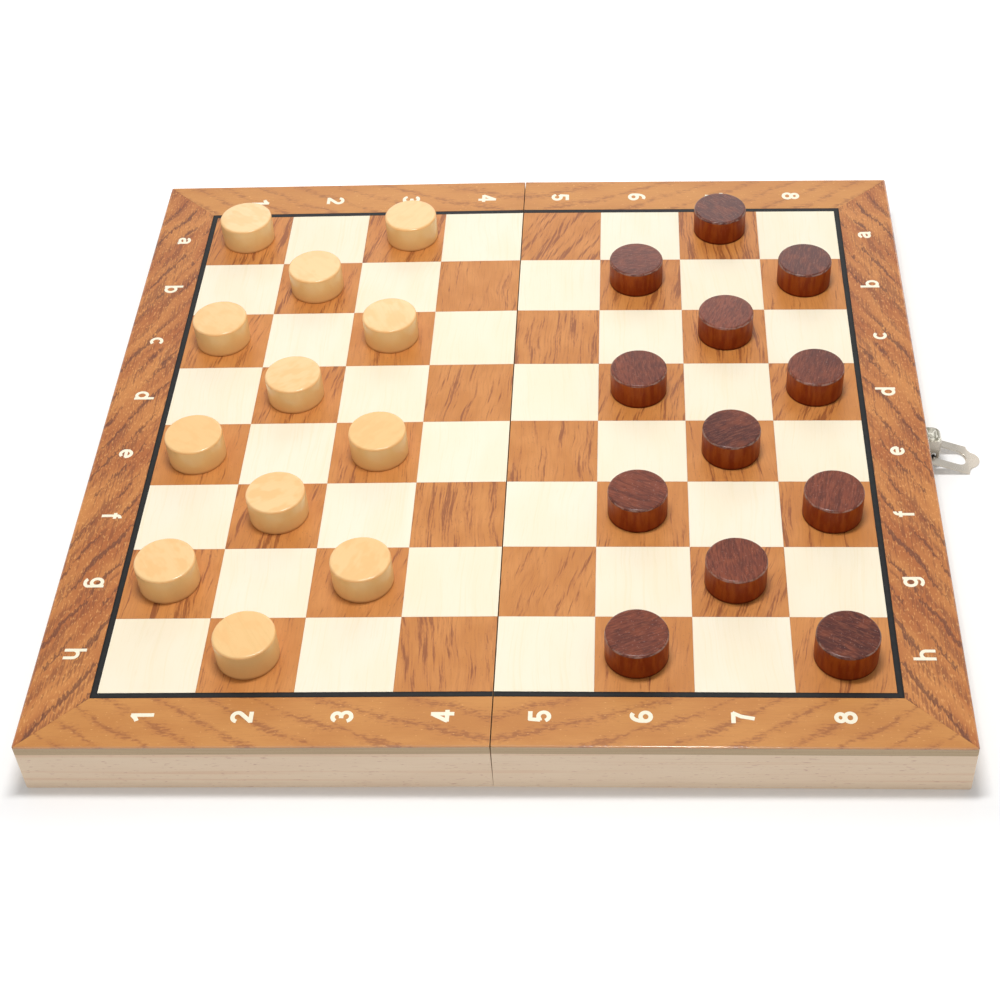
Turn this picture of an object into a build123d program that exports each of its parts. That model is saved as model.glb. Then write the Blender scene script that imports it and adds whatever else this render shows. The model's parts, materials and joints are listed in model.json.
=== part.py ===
from build123d import *
import os
from math import asin, atan, cos, hypot, radians, sin

os.makedirs("parts", exist_ok=True)

# Playing field and borders
square = 30.7
columns_per_half = 4
rows = 8
line_width = 2.0
side_border = 20.2
end_border = 19.2
corner_round = 0.8

# Heights, counted from the rims that lie on the table
half_height = 20.0
veneer_thickness = 0.5
core_thickness = 3.0
rail_thickness = 8.0

# Joints and fits between the wooden pieces
seam_gap = 0.04
rim_gap = 0.05
joint_gap = 0.06

# Steel sheet under the squares
sheet_thickness = 0.4
sheet_margin = 3.0
sheet_gap = 0.1

# Two butt hinges in the rims of the seam rails
hinge_inset = 56.0
hinge_length = 20.0
knuckle_count = 5
knuckle_radius = 1.0
knuckle_gap = 0.1
pin_radius = 0.5
pin_play = 0.05
leaf_width = 7.0
leaf_thickness = 0.5
leaf_gap = 0.15
hinge_pocket_gap = 0.1

# Countersunk screws of the hinges
screw_spacing = 12.0
screw_from_hinge_line = 4.4
screw_head_radius = 1.25
screw_radius = 0.6
screw_length = 6.5
screw_point = 1.5
screw_slot_width = 0.35
screw_slot_depth = 0.3

# Hasp on the right side: nailed plate with a pressed housing
plate_thickness = 0.6
plate_width = 15.0
plate_bottom = 2.6
plate_top = 15.8
plate_corner = 2.0
housing_width = 6.1
housing_reach = 6.5
housing_bottom = 3.4
housing_top = 14.6
housing_corner = 3.5
housing_edge_round = 1.2
housing_wall = 0.6

# Swinging loop of the hasp
loop_pivot_out = 4.2
loop_pivot_up = 5.2
loop_width = 13.7
loop_thickness = 0.8
loop_tail = 1.3
loop_shoulder = 13.6
loop_tip = 17.6
loop_waist = (15.4, 3.4)
loop_waist_dip = 0.4
loop_slot_width = 7.2
loop_slot_end = 13.0
lip_start = 13.2
lip_rise = 18.0
table_gap = 0.03
lug_radius = 0.6
lug_play = 0.05
lug_length = 1.5
lug_slot_height = 1.2
lug_slot_top_radius = 0.8

# Catch on the left side, whose tongue the loop goes over
catch_width = 13.0
catch_bottom = 1.8
catch_top = 12.6
tongue_half_width = 1.9
tongue_thickness = 0.8
tongue_root_up = 3.0
tongue_bend = (3.6, 4.0)
tongue_tip = (5.2, 6.4)

# Nails of both plates
nail_radius = 0.55
nail_head_radius = 1.15
nail_head_height = 0.55
nail_length = 6.0
nail_point = 1.4
nail_inset = 2.3
nail_up = 11.4
catch_nail_up = 10.2

# Draughtsmen and their magnets
man_radius = 10.0
man_thickness = 10.4
man_round = 0.8
man_foot_round = 0.35
magnet_radius = 3.0
magnet_thickness = 2.0
magnet_inset = 0.25
magnet_gap = 0.05
man_seat_gap = 0.02

# Each man's place off the middle of its square: to the right, to the back
light_men = {
    "a1": (-0.5, 1.5), "a3": (3.0, 1.2), "b2": (-0.3, 0.4), "c1": (-1.4, 0.9),
    "c3": (0.1, 1.3), "d2": (-0.9, -0.4), "e1": (-1.0, -0.6), "e3": (1.4, 0.0),
    "f2": (0.7, 1.0), "g1": (-0.6, 0.8), "g3": (1.6, 0.6), "h2": (-0.9, -0.5),
}
dark_men = {
    "a7": (0.4, 3.7), "b6": (-1.6, 2.4), "b8": (0.3, 1.6), "c7": (0.3, 1.7),
    "d6": (-1.0, 1.0), "d8": (0.1, 1.6), "e7": (-0.2, 0.1), "f6": (-1.7, 0.9),
    "f8": (1.6, 0.5), "g7": (-1.1, -0.1), "h6": (-2.3, -0.4), "h8": (1.0, -0.7),
}

# Worked out from the sizes above
field_width = columns_per_half * square
field_half_depth = rows * square / 2
line_out = field_width + line_width
line_half_depth = field_half_depth + line_width
half_width = line_out + side_border
half_depth = line_half_depth + end_border
hinge_offset = half_depth - hinge_inset
veneer_bottom = half_height - veneer_thickness
rail_top = veneer_bottom - core_thickness
# The open board stands on its hinge knuckles and outer rims, so each half leans a little
lean = atan(rim_gap / half_width) + asin(knuckle_radius / hypot(half_width, rim_gap))


def half_plane(side):
    """Frame of one half: x out from the hinge line, z up from the rims."""
    return Plane(
        origin=(0, 0, 0),
        x_dir=(side * cos(lean), 0, -sin(lean)),
        z_dir=(side * sin(lean), 0, cos(lean)),
    )


def section_plane(half, out, along):
    """Upright plane across the hinge line: x out, y up."""
    return Plane(
        origin=half.from_local_coords((out, along, 0)),
        x_dir=half.x_dir,
        z_dir=-half.y_dir,
    )


def wall_plane(half):
    """Outer face of a half: x along the wall, y up, z out of the wood."""
    return Plane(
        origin=half.from_local_coords((half_width, 0, 0)),
        x_dir=half.y_dir,
        z_dir=half.x_dir,
    )


def finish(piece, name):
    """Label a finished piece and write it."""
    piece.part.label = name
    export_step(piece.part, f"parts/{name}.step")


def turned_face(plane, points):
    """Half outline of a turned piece, to be revolved about the plane's own axis."""
    with BuildSketch(plane) as outline:
        with BuildLine():
            Polyline(*points, close=True)
        make_face()
    return outline.sketch


def screw_face(plane):
    """Half outline of a hinge screw, its head flush with the rim."""
    neck = rim_gap + screw_head_radius - screw_radius
    tip = rim_gap + screw_length
    return turned_face(
        plane,
        [
            (0, rim_gap),
            (screw_head_radius, rim_gap),
            (screw_radius, neck),
            (screw_radius, tip - screw_point),
            (0, tip),
        ],
    )


def nail_face(plane):
    """Half outline of a nail without its head: x out of the wall, y off its axis."""
    return turned_face(
        plane,
        [
            (-nail_length, 0),
            (nail_point - nail_length, nail_radius),
            (plate_thickness, nail_radius),
            (plate_thickness, 0),
        ],
    )


def screw_planes(half):
    """Upright planes through every hinge screw of a half."""
    places = []
    for hinge in (-hinge_offset, hinge_offset):
        for step in (-screw_spacing / 2, screw_spacing / 2):
            places.append(section_plane(half, screw_from_hinge_line, hinge + step))
    return places


def nail_planes(half, width, up):
    """Planes through the two nails of a plate, x out of the wall."""
    places = []
    for along in (nail_inset - width / 2, width / 2 - nail_inset):
        places.append(
            Plane(
                origin=half.from_local_coords((half_width, along, up)),
                x_dir=half.x_dir,
                z_dir=half.y_dir,
            )
        )
    return places


# Outline of a half board, seen from above, with its two outer corners eased
with BuildSketch() as half_outline:
    with Locations(((seam_gap + half_width) / 2, 0)):
        Rectangle(half_width - seam_gap, 2 * half_depth)
    fillet(half_outline.vertices().group_by(Axis.X)[-1], radius=corner_round)

halves = {"left": -1, "right": 1}
nails = {
    "left": (catch_width, catch_nail_up),
    "right": (plate_width, nail_up),
}

for half_name, side in halves.items():
    half = half_plane(side)

    # Front and back rails run the full width of the half
    for end_name, end in (("front", -side), ("back", side)):
        with BuildPart() as end_rail:
            with BuildSketch(half.offset(rim_gap)):
                add(half_outline.sketch)
                with Locations((half_width / 2, end * (half_depth - rail_thickness / 2))):
                    Rectangle(half_width, rail_thickness, mode=Mode.INTERSECT)
            extrude(amount=rail_top - rim_gap)
        finish(end_rail, f"{half_name}_{end_name}_rail")

    # The outer rail fits between them, with holes for the nails of its plate
    with BuildPart() as outer_rail:
        with BuildSketch(half.offset(rim_gap)):
            with Locations((half_width - rail_thickness / 2, 0)):
                Rectangle(rail_thickness, 2 * (half_depth - rail_thickness))
        extrude(amount=rail_top - rim_gap)
        for nail_plane in nail_planes(half, *nails[half_name]):
            revolve(
                nail_face(nail_plane),
                axis=Axis(nail_plane.origin, nail_plane.x_dir),
                mode=Mode.SUBTRACT,
            )
    finish(outer_rail, f"{half_name}_outer_rail")

    # The seam rail is let in for the hinges
    with BuildPart() as seam_rail:
        with BuildSketch(half.offset(rim_gap)):
            with Locations((seam_gap + rail_thickness / 2, 0)):
                Rectangle(rail_thickness, 2 * (half_depth - rail_thickness))
        extrude(amount=rail_top - rim_gap)
        with BuildSketch(half.offset(rim_gap)):
            with Locations((0, -hinge_offset), (0, hinge_offset)):
                Rectangle(2 * (leaf_width + hinge_pocket_gap), hinge_length + 2 * hinge_pocket_gap)
        extrude(amount=leaf_thickness, mode=Mode.SUBTRACT)
        with BuildSketch(half):
            with Locations((0, -hinge_offset), (0, hinge_offset)):
                Rectangle(2 * (knuckle_radius + leaf_gap), hinge_length + 2 * hinge_pocket_gap)
        extrude(amount=knuckle_radius + leaf_gap, mode=Mode.SUBTRACT)
        for screw_plane in screw_planes(half):
            revolve(
                screw_face(screw_plane),
                axis=Axis(screw_plane.origin, screw_plane.y_dir),
                mode=Mode.SUBTRACT,
            )
    finish(seam_rail, f"{half_name}_seam_rail")

    # The core board covers the rails and is let in for the steel sheet
    sheet_width = field_width - 2 * sheet_margin
    sheet_depth = 2 * (field_half_depth - sheet_margin)
    with BuildPart() as panel:
        with BuildSketch(half.offset(rail_top)):
            add(half_outline.sketch)
        extrude(amount=core_thickness)
        with BuildSketch(half.offset(veneer_bottom)):
            with Locations((field_width / 2, 0)):
                Rectangle(sheet_width + 2 * sheet_gap, sheet_depth + 2 * sheet_gap)
        extrude(amount=-sheet_thickness, mode=Mode.SUBTRACT)
    finish(panel, f"{half_name}_panel")

    with BuildPart() as steel_sheet:
        with BuildSketch(half.offset(veneer_bottom)):
            with Locations((field_width / 2, 0)):
                Rectangle(sheet_width, sheet_depth)
        extrude(amount=-sheet_thickness)
    finish(steel_sheet, f"{half_name}_steel_sheet")

    # Border veneers meet in a mitre from the line's corner to the board's corner
    mitre_slope = end_border / side_border
    with BuildPart() as end_borders:
        with BuildSketch(half.offset(veneer_bottom)):
            with BuildLine():
                Polyline(
                    (0, line_half_depth + joint_gap),
                    (line_out + joint_gap / mitre_slope, line_half_depth + joint_gap),
                    (half_width, half_depth),
                    (0, half_depth),
                    close=True,
                )
            make_face()
            mirror(about=Plane.XZ)
            add(half_outline.sketch, mode=Mode.INTERSECT)
        extrude(amount=veneer_thickness)
    finish(end_borders, f"{half_name}_end_borders")

    with BuildPart() as side_strip:
        with BuildSketch(half.offset(veneer_bottom)):
            with BuildLine():
                Polyline(
                    (line_out + joint_gap, -line_half_depth),
                    (half_width + joint_gap, -half_depth),
                    (half_width + joint_gap, half_depth),
                    (line_out + joint_gap, line_half_depth),
                    close=True,
                )
            make_face()
            add(half_outline.sketch, mode=Mode.INTERSECT)
        extrude(amount=veneer_thickness)
    finish(side_strip, f"{half_name}_side_border")

    # Black line round three sides of the squares
    with BuildPart() as line_inlay:
        with BuildSketch(half.offset(veneer_bottom)):
            with Locations(((seam_gap + line_out) / 2, 0)):
                Rectangle(line_out - seam_gap, 2 * line_half_depth)
            with Locations((field_width / 2, 0)):
                Rectangle(
                    field_width + joint_gap,
                    2 * field_half_depth + joint_gap,
                    mode=Mode.SUBTRACT,
                )
        extrude(amount=veneer_thickness)
    finish(line_inlay, f"{half_name}_line_inlay")

    # Squares of veneer: column and row count from the seam and from one end
    for tone, parity in (("light", 0), ("dark", 1)):
        centres = []
        for column in range(columns_per_half):
            for row in range(rows):
                if (column + row) % 2 == parity:
                    centres.append(
                        ((column + 0.5) * square, (row + 0.5) * square - field_half_depth)
                    )
        with BuildPart() as squares:
            with BuildSketch(half.offset(veneer_bottom)):
                with Locations(*centres):
                    Rectangle(square - joint_gap, square - joint_gap)
                add(half_outline.sketch, mode=Mode.INTERSECT)
            extrude(amount=veneer_thickness)
        finish(squares, f"{half_name}_{tone}_squares")

    # Hinge leaves: the left ones have the odd knuckles and hold the pin fast
    first_knuckle = 0 if half_name == "left" else 1
    bore_radius = pin_radius if half_name == "left" else pin_radius + pin_play
    knuckle_pitch = hinge_length / knuckle_count
    for hinge_name, hinge in (("front", -side * hinge_offset), ("back", side * hinge_offset)):
        knuckle_places = []
        for knuckle in range(first_knuckle, knuckle_count, 2):
            along = (knuckle + 0.5) * knuckle_pitch - hinge_length / 2
            knuckle_places.append(hinge + along)
        hinge_section = section_plane(half, 0, hinge)
        with BuildPart() as leaf:
            with BuildSketch(half.offset(rim_gap)):
                inner_edge = knuckle_radius + leaf_gap
                with Locations(((inner_edge + leaf_width) / 2, hinge)):
                    Rectangle(leaf_width - inner_edge, hinge_length)
                with Locations(*[(inner_edge / 2, place) for place in knuckle_places]):
                    Rectangle(inner_edge, knuckle_pitch - knuckle_gap)
            extrude(amount=leaf_thickness)
            for place in knuckle_places:
                with BuildSketch(section_plane(half, 0, place)):
                    Circle(knuckle_radius)
                extrude(amount=(knuckle_pitch - knuckle_gap) / 2, both=True)
            with BuildSketch(hinge_section):
                Circle(bore_radius)
            extrude(amount=hinge_length, both=True, mode=Mode.SUBTRACT)
            for screw_plane in screw_planes(half):
                revolve(
                    screw_face(screw_plane),
                    axis=Axis(screw_plane.origin, screw_plane.y_dir),
                    mode=Mode.SUBTRACT,
                )
        finish(leaf, f"{hinge_name}_hinge_{half_name}_leaf")

        if half_name == "left":
            with BuildPart() as hinge_pin:
                with BuildSketch(hinge_section):
                    Circle(pin_radius)
                extrude(amount=hinge_length / 2, both=True)
            finish(hinge_pin, f"{hinge_name}_hinge_pin")

    with BuildPart() as screws:
        for screw_plane in screw_planes(half):
            revolve(
                screw_face(screw_plane),
                axis=Axis(screw_plane.origin, screw_plane.y_dir),
            )
            with BuildSketch(screw_plane):
                with Locations((0, rim_gap + screw_slot_depth / 2)):
                    Rectangle(screw_slot_width, screw_slot_depth)
            extrude(amount=screw_head_radius, both=True, mode=Mode.SUBTRACT)
    finish(screws, f"{half_name}_hinge_screws")

    # Nails with domed heads
    with BuildPart() as plate_nails:
        for nail_plane in nail_planes(half, *nails[half_name]):
            revolve(nail_face(nail_plane), axis=Axis(nail_plane.origin, nail_plane.x_dir))
            with BuildSketch(nail_plane) as head:
                with BuildLine():
                    rim = Line((plate_thickness, 0), (plate_thickness, nail_head_radius))
                    dome = TangentArc(
                        (plate_thickness + nail_head_height, 0),
                        (plate_thickness, nail_head_radius),
                        tangent=(0, 1),
                    )
                    Line(dome @ 0, rim @ 0)
                make_face()
            revolve(head.sketch, axis=Axis(nail_plane.origin, nail_plane.x_dir))
    finish(plate_nails, "catch_nails" if half_name == "left" else "hasp_nails")


def nailed_plate(half, width, bottom, top, up):
    """Flat plate against the outer wall, with its two nail holes."""
    with BuildPart() as plate:
        with BuildSketch(wall_plane(half)):
            with Locations((0, (bottom + top) / 2)):
                RectangleRounded(width, top - bottom, plate_corner)
        extrude(amount=plate_thickness)
        for nail_plane in nail_planes(half, width, up):
            revolve(
                nail_face(nail_plane),
                axis=Axis(nail_plane.origin, nail_plane.x_dir),
                mode=Mode.SUBTRACT,
            )
    return plate.part


def housing_form(section, inset):
    """Domed housing of the hasp, or its hollow when it is drawn in by the sheet's thickness."""
    foot = housing_bottom - 2 * inset
    reach = housing_reach - inset
    top = housing_top - inset
    with BuildPart() as form:
        with BuildSketch(section) as outline:
            with Locations((reach / 2, (foot + top) / 2)):
                Rectangle(reach, top - foot)
            outer_corner = outline.vertices().group_by(Axis.X)[-1].sort_by(Axis.Y)[-1]
            fillet(outer_corner, radius=housing_corner - inset)
        extrude(amount=housing_width / 2 - inset, both=True)
        bend = form.edges().filter_by(GeomType.CIRCLE)
        fillet(bend, radius=housing_edge_round - inset)
    return form.part


# Hasp plate: the housing pressed out of its sheet holds the loop's two lugs
right_half = half_plane(halves["right"])
hasp_section = section_plane(right_half, half_width, 0)
with BuildPart() as hasp_plate:
    add(nailed_plate(right_half, plate_width, plate_bottom, plate_top, nail_up))
    add(housing_form(hasp_section, 0))
    add(housing_form(hasp_section, housing_wall), mode=Mode.SUBTRACT)
    with BuildSketch(hasp_section):
        with Locations((loop_pivot_out, loop_pivot_up)):
            Circle(lug_radius + lug_play)
        with Locations((loop_pivot_out, loop_pivot_up + lug_slot_height)):
            Circle(lug_slot_top_radius)
        make_hull()
    extrude(amount=housing_width, both=True, mode=Mode.SUBTRACT)
finish(hasp_plate, "hasp_plate")

# The loop hangs down from its lugs until its shoulders lie on the table
pivot = right_half.from_local_coords((half_width + loop_pivot_out, 0, loop_pivot_up))
pivot_height = pivot.Z + knuckle_radius - table_gap
loop_drop = asin(pivot_height / hypot(loop_shoulder, loop_thickness / 2))
loop_drop -= atan(loop_thickness / 2 / loop_shoulder)
loop_plane = Plane(
    origin=pivot,
    x_dir=(cos(loop_drop), 0, -sin(loop_drop)),
    z_dir=(sin(loop_drop), 0, cos(loop_drop)),
)
loop_section = Plane(origin=pivot, x_dir=loop_plane.x_dir, z_dir=-loop_plane.y_dir)
with BuildPart() as hasp_loop:
    # Bent strip, seen from the side
    with BuildSketch(loop_section):
        with BuildLine():
            Polyline(
                (-2 * loop_tail, 0),
                (lip_start, 0),
                (loop_tip + loop_tail, (loop_tip + loop_tail - lip_start) * sin(radians(lip_rise))),
            )
        trace(line_width=loop_thickness)
    extrude(amount=loop_width, both=True)
    # Outline with shoulders and a rounded tip, seen from above
    with BuildSketch(loop_plane) as loop_outline:
        with BuildLine():
            waist_middle = (
                (loop_shoulder + loop_waist[0]) / 2 - loop_waist_dip,
                (loop_width / 2 + loop_waist[1]) / 2 - loop_waist_dip,
            )
            Polyline(
                (loop_tip, 0),
                (-loop_tail, 0),
                (-loop_tail, loop_width / 2),
                (loop_shoulder, loop_width / 2),
            )
            ThreePointArc((loop_shoulder, loop_width / 2), waist_middle, loop_waist)
            TangentArc((loop_tip, 0), loop_waist, tangent=(0, 1))
        make_face()
        mirror(about=Plane.XZ)
        slot_middle = loop_slot_end - loop_slot_width / 2
        with Locations((slot_middle, 0)):
            Circle(loop_slot_width / 2, mode=Mode.SUBTRACT)
        with Locations(((slot_middle - loop_tail) / 2, 0)):
            Rectangle(slot_middle + loop_tail, loop_slot_width, mode=Mode.SUBTRACT)
    extrude(amount=loop_tip, both=True, mode=Mode.INTERSECT)
    # Lugs turned in through the housing's cheeks
    lug_start = loop_slot_width / 2 + lug_radius
    for end in (-1, 1):
        lug_end = Plane(
            origin=loop_plane.from_local_coords((0, end * lug_start, 0)),
            x_dir=loop_plane.x_dir,
            z_dir=-end * loop_plane.y_dir,
        )
        with BuildSketch(lug_end):
            Circle(lug_radius)
        extrude(amount=lug_radius + lug_length)
finish(hasp_loop, "hasp_loop")

# Catch plate on the other side: its bent tongue stands in the loop's slot when shut
left_half = half_plane(halves["left"])
with BuildPart() as catch_plate:
    add(nailed_plate(left_half, catch_width, catch_bottom, catch_top, catch_nail_up))
    with BuildSketch(section_plane(left_half, half_width, 0)):
        with BuildLine():
            ThreePointArc((plate_thickness / 2, tongue_root_up), tongue_bend, tongue_tip)
        trace(line_width=tongue_thickness)
    extrude(amount=tongue_half_width, both=True)
finish(catch_plate, "catch_plate")


# Draughtsmen: turned discs, each with a magnet let into its foot
def place_man(tone, name, shift):
    """One man on its square; the name is its row letter and column number."""
    column = int(name[1])
    row = "abcdefgh".index(name[0])
    right = (column - columns_per_half - 0.5) * square + shift[0]
    back = (rows / 2 - row - 0.5) * square + shift[1]
    man_side = halves["left"] if column <= columns_per_half else halves["right"]
    man_half = half_plane(man_side)
    spot = (man_side * right, man_side * back)
    seat = half_height + man_seat_gap
    with BuildPart() as man:
        with BuildSketch(man_half.offset(seat)):
            with Locations(spot):
                Circle(man_radius)
        extrude(amount=man_thickness)
        edges = man.edges().filter_by(GeomType.CIRCLE).sort_by(Axis((0, 0, 0), man_half.z_dir))
        fillet(edges[-1], radius=man_round)
        fillet(edges[0], radius=man_foot_round)
        with BuildSketch(man_half.offset(seat)):
            with Locations(spot):
                Circle(magnet_radius + magnet_gap)
        extrude(amount=magnet_inset + magnet_thickness + magnet_gap, mode=Mode.SUBTRACT)
        with BuildSketch(man_half.offset(seat + magnet_inset)):
            with Locations(spot):
                Circle(magnet_radius)
        extrude(amount=magnet_thickness)
    finish(man, f"{tone}_man_{name}")


for tone, men in (("light", light_men), ("dark", dark_men)):
    for name, shift in men.items():
        place_man(tone, name, shift)
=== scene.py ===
import bmesh
import bpy
import json
from math import cos, pi, radians, sin
from mathutils import Matrix, Vector
from mathutils.geometry import delaunay_2d_cdt

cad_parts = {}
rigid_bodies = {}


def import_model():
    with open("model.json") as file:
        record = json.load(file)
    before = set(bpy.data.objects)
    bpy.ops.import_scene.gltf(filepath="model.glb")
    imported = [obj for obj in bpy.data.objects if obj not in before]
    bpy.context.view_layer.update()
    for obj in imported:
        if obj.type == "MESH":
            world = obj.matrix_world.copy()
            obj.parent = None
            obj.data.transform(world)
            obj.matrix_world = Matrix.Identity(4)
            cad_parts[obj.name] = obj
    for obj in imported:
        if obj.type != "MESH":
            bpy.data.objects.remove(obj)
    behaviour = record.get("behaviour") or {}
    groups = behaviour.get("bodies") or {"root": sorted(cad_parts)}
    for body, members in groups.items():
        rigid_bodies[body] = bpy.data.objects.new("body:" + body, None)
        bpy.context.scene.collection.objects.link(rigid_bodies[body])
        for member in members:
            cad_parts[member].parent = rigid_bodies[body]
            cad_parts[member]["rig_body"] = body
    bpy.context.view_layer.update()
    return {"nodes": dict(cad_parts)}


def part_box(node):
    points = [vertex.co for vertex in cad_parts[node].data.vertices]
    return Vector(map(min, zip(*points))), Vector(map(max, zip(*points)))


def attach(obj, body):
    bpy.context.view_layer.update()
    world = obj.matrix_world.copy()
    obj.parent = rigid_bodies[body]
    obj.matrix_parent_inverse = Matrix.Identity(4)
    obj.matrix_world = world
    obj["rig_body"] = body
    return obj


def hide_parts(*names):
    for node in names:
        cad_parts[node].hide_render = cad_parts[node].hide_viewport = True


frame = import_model()
scene = bpy.context.scene
millimetre = 0.001

# Camera: it looks down on the open board from the front, a little from the right, as a person
# does who sits at the table. Its place was worked out from the board's corners in the photograph.
view_azimuth = 0.0624
view_elevation = 0.7799
view_roll = -0.0487
view_distance = 0.6378
looked_at = Vector((0.01466, -0.03921, 0.0195))
lens_length = 68.05
lens_shift = -0.0489

level = Vector((cos(view_azimuth), sin(view_azimuth), 0))
forward = Vector((-sin(view_azimuth) * cos(view_elevation), cos(view_azimuth) * cos(view_elevation),
                  -sin(view_elevation)))
upright = level.cross(forward)
image_right = cos(view_roll) * level + sin(view_roll) * upright
image_up = cos(view_roll) * upright - sin(view_roll) * level

camera = bpy.data.objects.new("camera", bpy.data.cameras.new("camera"))
camera.data.lens = lens_length
camera.data.shift_x = lens_shift
camera.matrix_world = (Matrix.Translation(looked_at - view_distance * forward)
                       @ Matrix((image_right, image_up, -forward)).transposed().to_4x4())
scene.collection.objects.link(camera)
scene.camera = camera
scene.view_settings.view_transform = "Standard"


# Table and light: white paper under an even white sky, a soft lamp overhead, a weak one behind the
# board and one below for the trays. To the camera the paper is lifted to white and keeps only the
# board's shadow. It is clear for a look from below and for the lamp under it.
class Wire:
    """One socket of a node tree. Sums and products of it add Math nodes to that tree."""

    def __init__(self, graph, socket):
        self.graph = graph
        self.socket = socket

    def other(self, name):
        return Wire(self.graph, self.socket.node.outputs[name])

    def __add__(self, value):
        return self.graph.math("ADD", self, value)

    def __sub__(self, value):
        return self.graph.math("SUBTRACT", self, value)

    def __rsub__(self, value):
        return self.graph.math("SUBTRACT", value, self)

    def __mul__(self, value):
        return self.graph.math("MULTIPLY", self, value)

    def __truediv__(self, value):
        return self.graph.math("DIVIDE", self, value)

    __radd__ = __add__
    __rmul__ = __mul__


class Graph:
    """A node tree that is filled one node at a time."""

    def __init__(self, tree):
        self.tree = tree

    def add(self, kind, settings=None, inputs=None, output=0):
        node = self.tree.nodes.new(kind)
        for name, value in (settings or {}).items():
            setattr(node, name, value)
        for name, value in (inputs or {}).items():
            self.feed(node.inputs[name], value)
        return Wire(self, node.outputs[output]) if node.outputs else node

    def feed(self, socket, value):
        if isinstance(value, Wire):
            self.tree.links.new(value.socket, socket)
        else:
            socket.default_value = value

    def math(self, operation, *values):
        return self.add("ShaderNodeMath", {"operation": operation}, dict(enumerate(values)))

    def split(self, vector):
        x = self.add("ShaderNodeSeparateXYZ", inputs={0: vector})
        return x, x.other("Y"), x.other("Z")


def eye_rays(graph):
    """1 for what the camera sees, straight, in a shiny surface or through a clear one."""
    ray = graph.add("ShaderNodeLightPath", output="Is Camera Ray")
    mirrored = graph.math("MAXIMUM", ray, ray.other("Is Glossy Ray"))
    return graph.math("MAXIMUM", mirrored, ray.other("Is Transmission Ray"))


class Finish(Graph):
    """A surface finish: a material whose nodes read the place on the piece in millimetres."""

    def __init__(self, name, **fixed):
        self.material = bpy.data.materials.new(name)
        self.material.use_nodes = True
        super().__init__(self.material.node_tree)
        self.tree.nodes.clear()
        self.shader = self.add("ShaderNodeBsdfPrincipled").socket.node
        self.output = self.add("ShaderNodeOutputMaterial")
        self.feed(self.output.inputs["Surface"], Wire(self, self.shader.outputs[0]))
        for name, value in fixed.items():
            self.paint(name.replace("_", " ").title().replace("Ior", "IOR"), value)

    def paint(self, socket, value):
        self.feed(self.shader.inputs[socket], value)

    def place(self):
        """The place on the piece along X, Y and Z."""
        spot = self.add("ShaderNodeTexCoord", output="Object")
        return self.split(self.scaled(spot, 1 / millimetre))

    def scaled(self, vector, factor):
        return self.add("ShaderNodeVectorMath", {"operation": "SCALE"}, {
            0: vector, "Scale": factor})

    def noise(self, x, y, z=0.0, detail=2.0, roughness=0.5):
        """Cloudy noise about 0.5, with lumps one unit apart."""
        spot = self.add("ShaderNodeCombineXYZ", inputs={0: x, 1: y, 2: z})
        return self.add("ShaderNodeTexNoise", inputs={
            "Vector": spot, "Scale": 1.0, "Detail": detail, "Roughness": roughness})

    def rise(self, value, low, high):
        """0 below low and 1 above high, with a smooth step between."""
        return self.add("ShaderNodeMapRange", {"interpolation_type": "SMOOTHSTEP"},
                        {"Value": value, "From Min": low, "From Max": high})

    def mix(self, amount, under, over):
        """Colour that goes from under to over by the amount."""
        return self.add("ShaderNodeMix", {"data_type": "RGBA"},
                        {0: amount, 6: under, 7: over}, output=2)

    def relief(self, height, depth):
        """Bumps of that depth in millimetres, where height goes from 0 to 1."""
        self.paint("Normal", self.add("ShaderNodeBump", inputs={
            "Height": height, "Distance": depth * millimetre, "Strength": 1.0}))


def tint(red, green, blue):
    """Colour as the eye reads it on a screen, 0 to 255, made linear."""
    return tuple(((c / 255 + 0.055) / 1.055) ** 2.4 for c in (red, green, blue)) + (1.0,)


white = (1, 1, 1, 1)
floor_size = 8.0
floor_height = -1.02 * millimetre
paper_tone = 0.93
paper_lift = 0.05
far_paper_lift = 0.65
sweep_start = 58.0
board_reach = 145.0

floor_mesh = bpy.data.meshes.new("table_paper")
floor_mesh.from_pydata(
    [Vector((x, y, 0)) * floor_size / 2 + Vector((0, 0, floor_height))
     for x, y in ((-1, -1), (1, -1), (1, 1), (-1, 1))], [], [(0, 1, 2, 3)])
floor = bpy.data.objects.new("table_paper", floor_mesh)
scene.collection.objects.link(floor)

paper = Finish("white_paper", roughness=0.9, base_color=(paper_tone, paper_tone, paper_tone, 1))
x, y, _ = paper.place()
away = paper.math("MAXIMUM", paper.math("ABSOLUTE", x), paper.math("ABSOLUTE", y)) - board_reach
lift = paper.rise(away, 0.0, sweep_start) * (far_paper_lift - paper_lift) + paper_lift
glow = paper.add("ShaderNodeEmission", inputs={"Color": white, "Strength": eye_rays(paper) * lift})
lifted = paper.add("ShaderNodeAddShader", inputs={0: Wire(paper, paper.shader.outputs[0]), 1: glow})
see_through = paper.add("ShaderNodeBsdfTransparent")
clear = paper.math("MAXIMUM", paper.add("ShaderNodeNewGeometry", output="Backfacing"),
                   paper.add("ShaderNodeLightPath", output="Is Shadow Ray"))
paper.feed(paper.output.inputs["Surface"], paper.add("ShaderNodeMixShader", inputs={
    0: clear, 1: lifted, 2: see_through}))
floor_mesh.materials.append(paper.material)

sky_strength = 0.42
sky = bpy.data.worlds.new("studio_sky")
sky.use_nodes = True
scene.world = sky
air = Graph(sky.node_tree)
sky.node_tree.nodes.clear()
air.add("ShaderNodeOutputWorld", inputs={"Surface": air.add("ShaderNodeBackground", inputs={
    "Color": white, "Strength": eye_rays(air) * (1 - sky_strength) + sky_strength})})

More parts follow.
